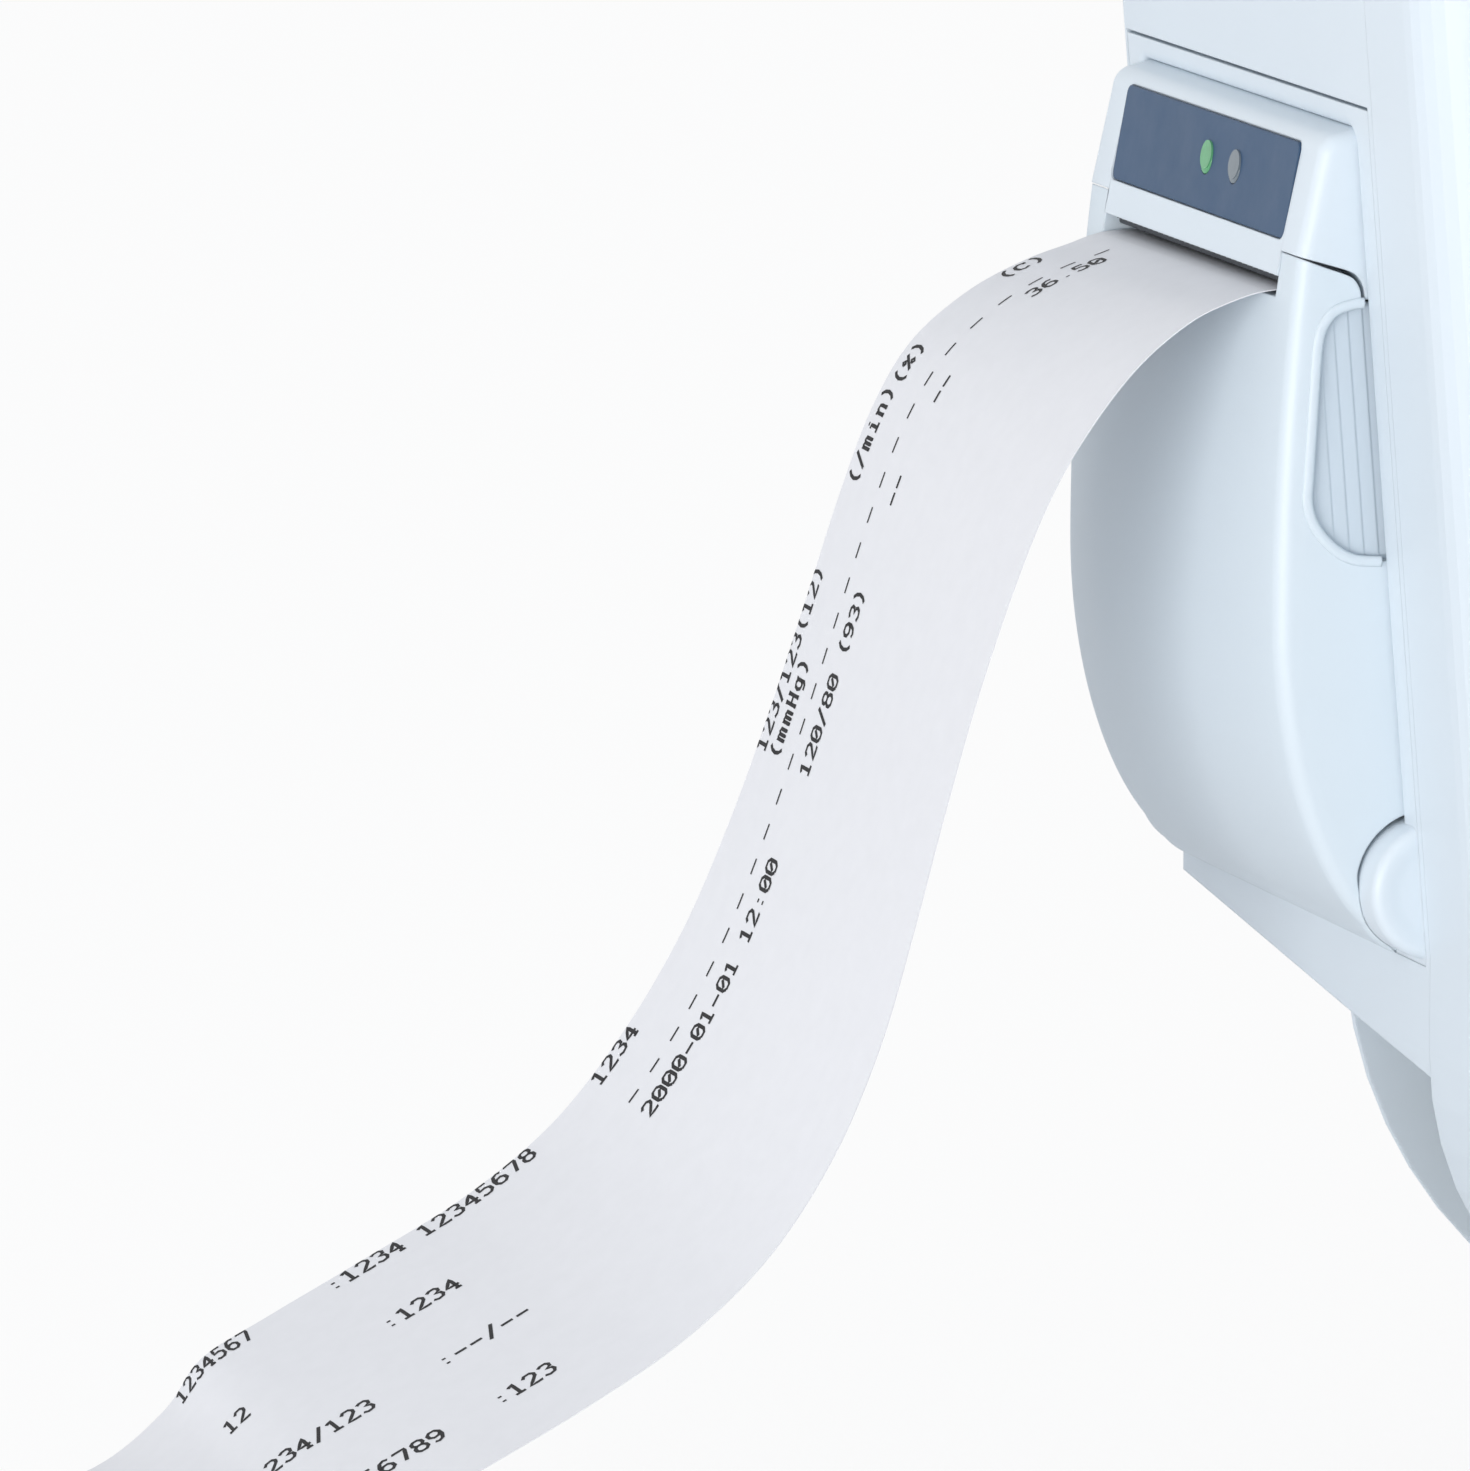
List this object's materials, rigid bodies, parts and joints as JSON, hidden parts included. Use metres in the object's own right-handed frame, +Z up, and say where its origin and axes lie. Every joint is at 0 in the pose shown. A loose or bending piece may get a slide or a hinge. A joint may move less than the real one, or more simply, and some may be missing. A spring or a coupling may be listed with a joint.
{
  "type": "vital signs monitor",
  "caption": "Bedside vital signs monitor with screen, soft keys, turning knob, sensor sockets and a strip printer behind a hinged door in its side.",
  "frame": {"origin": "centre of the base pad's underside, on the surface that the monitor stands on", "axes": "+X to the reader's right when facing the screen, the screen faces -Y, +Z up; the printer is in the -X side"},
  "size_m": [0.3753, 0.142, 0.256],
  "materials": {
    "case_white": "satin",
    "shade_white": "satin",
    "rubber_grey": "matt",
    "brass": "machined",
    "steel": "plain",
    "screen_glass": "gloss",
    "dark_plastic": "matt",
    "alarm_clear": "translucent",
    "lamp_green": "clear green",
    "lamp_grey": "clear, unlit",
    "power_green": "satin",
    "board_green": "solder mask",
    "grey_metal": "satin",
    "battery_blue": "shrink sleeve",
    "socket_blue": "satin",
    "socket_green": "satin",
    "label_blue": "printed film",
    "roller_rubber": "ground",
    "gear_cream": "moulded",
    "ceramic": "glazed",
    "paper": "thermal paper",
    "card": "card"
  },
  "bodies": {
    "monitor": {"front_case": "case_white", "rear_case": "case_white", "base_pad": "rubber_grey", "stand_inserts": "brass", "case_screws": "steel", "carry_handle": "shade_white", "display_lens": "screen_glass", "lcd_module": "dark_plastic", "lcd_bracket": "steel", "alarm_light": "alarm_clear", "status_lamps": "lamp_green", "key_board": "board_green", "encoder_body": "steel", "main_plate": "steel", "main_board": "board_green", "power_supply": "grey_metal", "battery_pack": "battery_blue", "battery_cover": "case_white", "cuff_pump": "dark_plastic", "cuff_valve": "steel", "speaker": "dark_plastic", "connector_panel": "shade_white", "cuff_port": "steel", "oxygen_socket": "socket_blue", "temperature_sockets": "dark_plastic", "ecg_socket": "socket_green", "power_inlet": "dark_plastic", "ground_post": "brass", "printer_frame": "case_white", "printer_cover": "case_white", "label_plate": "label_blue", "power_lamp": "lamp_green", "fault_lamp": "lamp_grey", "hinge_pins": "steel", "stepper_motor": "grey_metal", "printer_chassis": "steel", "thermal_head": "ceramic", "tear_bar": "steel", "roll_spindle": "gear_cream", "paper_strip": "paper", "printer_board": "board_green"},
    "printer_door": {"printer_door": "shade_white", "platen_bushes": "brass"},
    "platen": {"platen_roller": "roller_rubber", "platen_shaft": "steel", "platen_gear": "gear_cream"},
    "idler": {"idler_gear": "gear_cream"},
    "pinion": {"motor_pinion": "brass"},
    "paper_roll": {"paper_roll": "paper", "paper_core": "card"},
    "knob_shaft": {"encoder_shaft": "steel"},
    "knob": {"rotary_knob": "shade_white"},
    "cuff_key": {"cuff_key": "shade_white"},
    "alarm_key": {"alarm_key": "shade_white"},
    "record_key": {"record_key": "shade_white"},
    "trend_key": {"trend_key": "shade_white"},
    "freeze_key": {"freeze_key": "shade_white"},
    "menu_key": {"menu_key": "shade_white"},
    "power_key": {"power_key": "power_green"}
  },
  "joints": [
    {"name": "door_hinge", "type": "hinge", "parent": "monitor", "child": "printer_door", "pos_m": [-0.1026, 0.001, 0.0682], "axis": [0, -1, 0], "range_deg": [0, 50], "deforming": ["paper_strip"]},
    {"name": "roll_spin", "type": "hinge", "parent": "monitor", "child": "paper_roll", "pos_m": [-0.094, 0.001, 0.0905], "axis": [0, 1, 0], "continuous": true},
    {"name": "platen_spin", "type": "hinge", "parent": "printer_door", "child": "platen", "pos_m": [-0.108, 0.001, 0.1215], "axis": [0, 1, 0], "continuous": true},
    {"name": "idler_spin", "type": "hinge", "parent": "monitor", "child": "idler", "pos_m": [-0.096, 0.001, 0.1215], "axis": [0, 1, 0], "continuous": true},
    {"name": "pinion_spin", "type": "hinge", "parent": "monitor", "child": "pinion", "pos_m": [-0.0865, 0.001, 0.1215], "axis": [0, 1, 0], "continuous": true},
    {"name": "cuff_key_press", "type": "slide", "parent": "monitor", "child": "cuff_key", "axis": [0, 1, 0], "range_m": [0, 0.0012], "stiffness_N_per_m": 1000, "springref_m": -0.0005},
    {"name": "alarm_key_press", "type": "slide", "parent": "monitor", "child": "alarm_key", "axis": [0, 1, 0], "range_m": [0, 0.0012], "stiffness_N_per_m": 1000, "springref_m": -0.0005},
    {"name": "record_key_press", "type": "slide", "parent": "monitor", "child": "record_key", "axis": [0, 1, 0], "range_m": [0, 0.0012], "stiffness_N_per_m": 1000, "springref_m": -0.0005},
    {"name": "trend_key_press", "type": "slide", "parent": "monitor", "child": "trend_key", "axis": [0, 1, 0], "range_m": [0, 0.0012], "stiffness_N_per_m": 1000, "springref_m": -0.0005},
    {"name": "freeze_key_press", "type": "slide", "parent": "monitor", "child": "freeze_key", "axis": [0, 1, 0], "range_m": [0, 0.0012], "stiffness_N_per_m": 1000, "springref_m": -0.0005},
    {"name": "menu_key_press", "type": "slide", "parent": "monitor", "child": "menu_key", "axis": [0, 1, 0], "range_m": [0, 0.0012], "stiffness_N_per_m": 1000, "springref_m": -0.0005},
    {"name": "power_key_press", "type": "slide", "parent": "monitor", "child": "power_key", "axis": [0, 1, 0], "range_m": [0, 0.0012], "stiffness_N_per_m": 1000, "springref_m": -0.0005},
    {"name": "knob_turn", "type": "hinge", "parent": "monitor", "child": "knob_shaft", "pos_m": [0.078, -0.06, 0.066], "axis": [0, -1, 0], "continuous": true},
    {"name": "knob_push", "type": "slide", "parent": "knob_shaft", "child": "knob", "axis": [0, 1, 0], "range_m": [0, 0.001], "stiffness_N_per_m": 1500, "springref_m": -0.0006}
  ],
  "couplings": [
    {"joint": "platen_spin", "follows": "roll_spin", "ratio": -4.2222},
    {"joint": "idler_spin", "follows": "roll_spin", "ratio": 3.5726},
    {"joint": "pinion_spin", "follows": "roll_spin", "ratio": -7.7407}
  ]
}
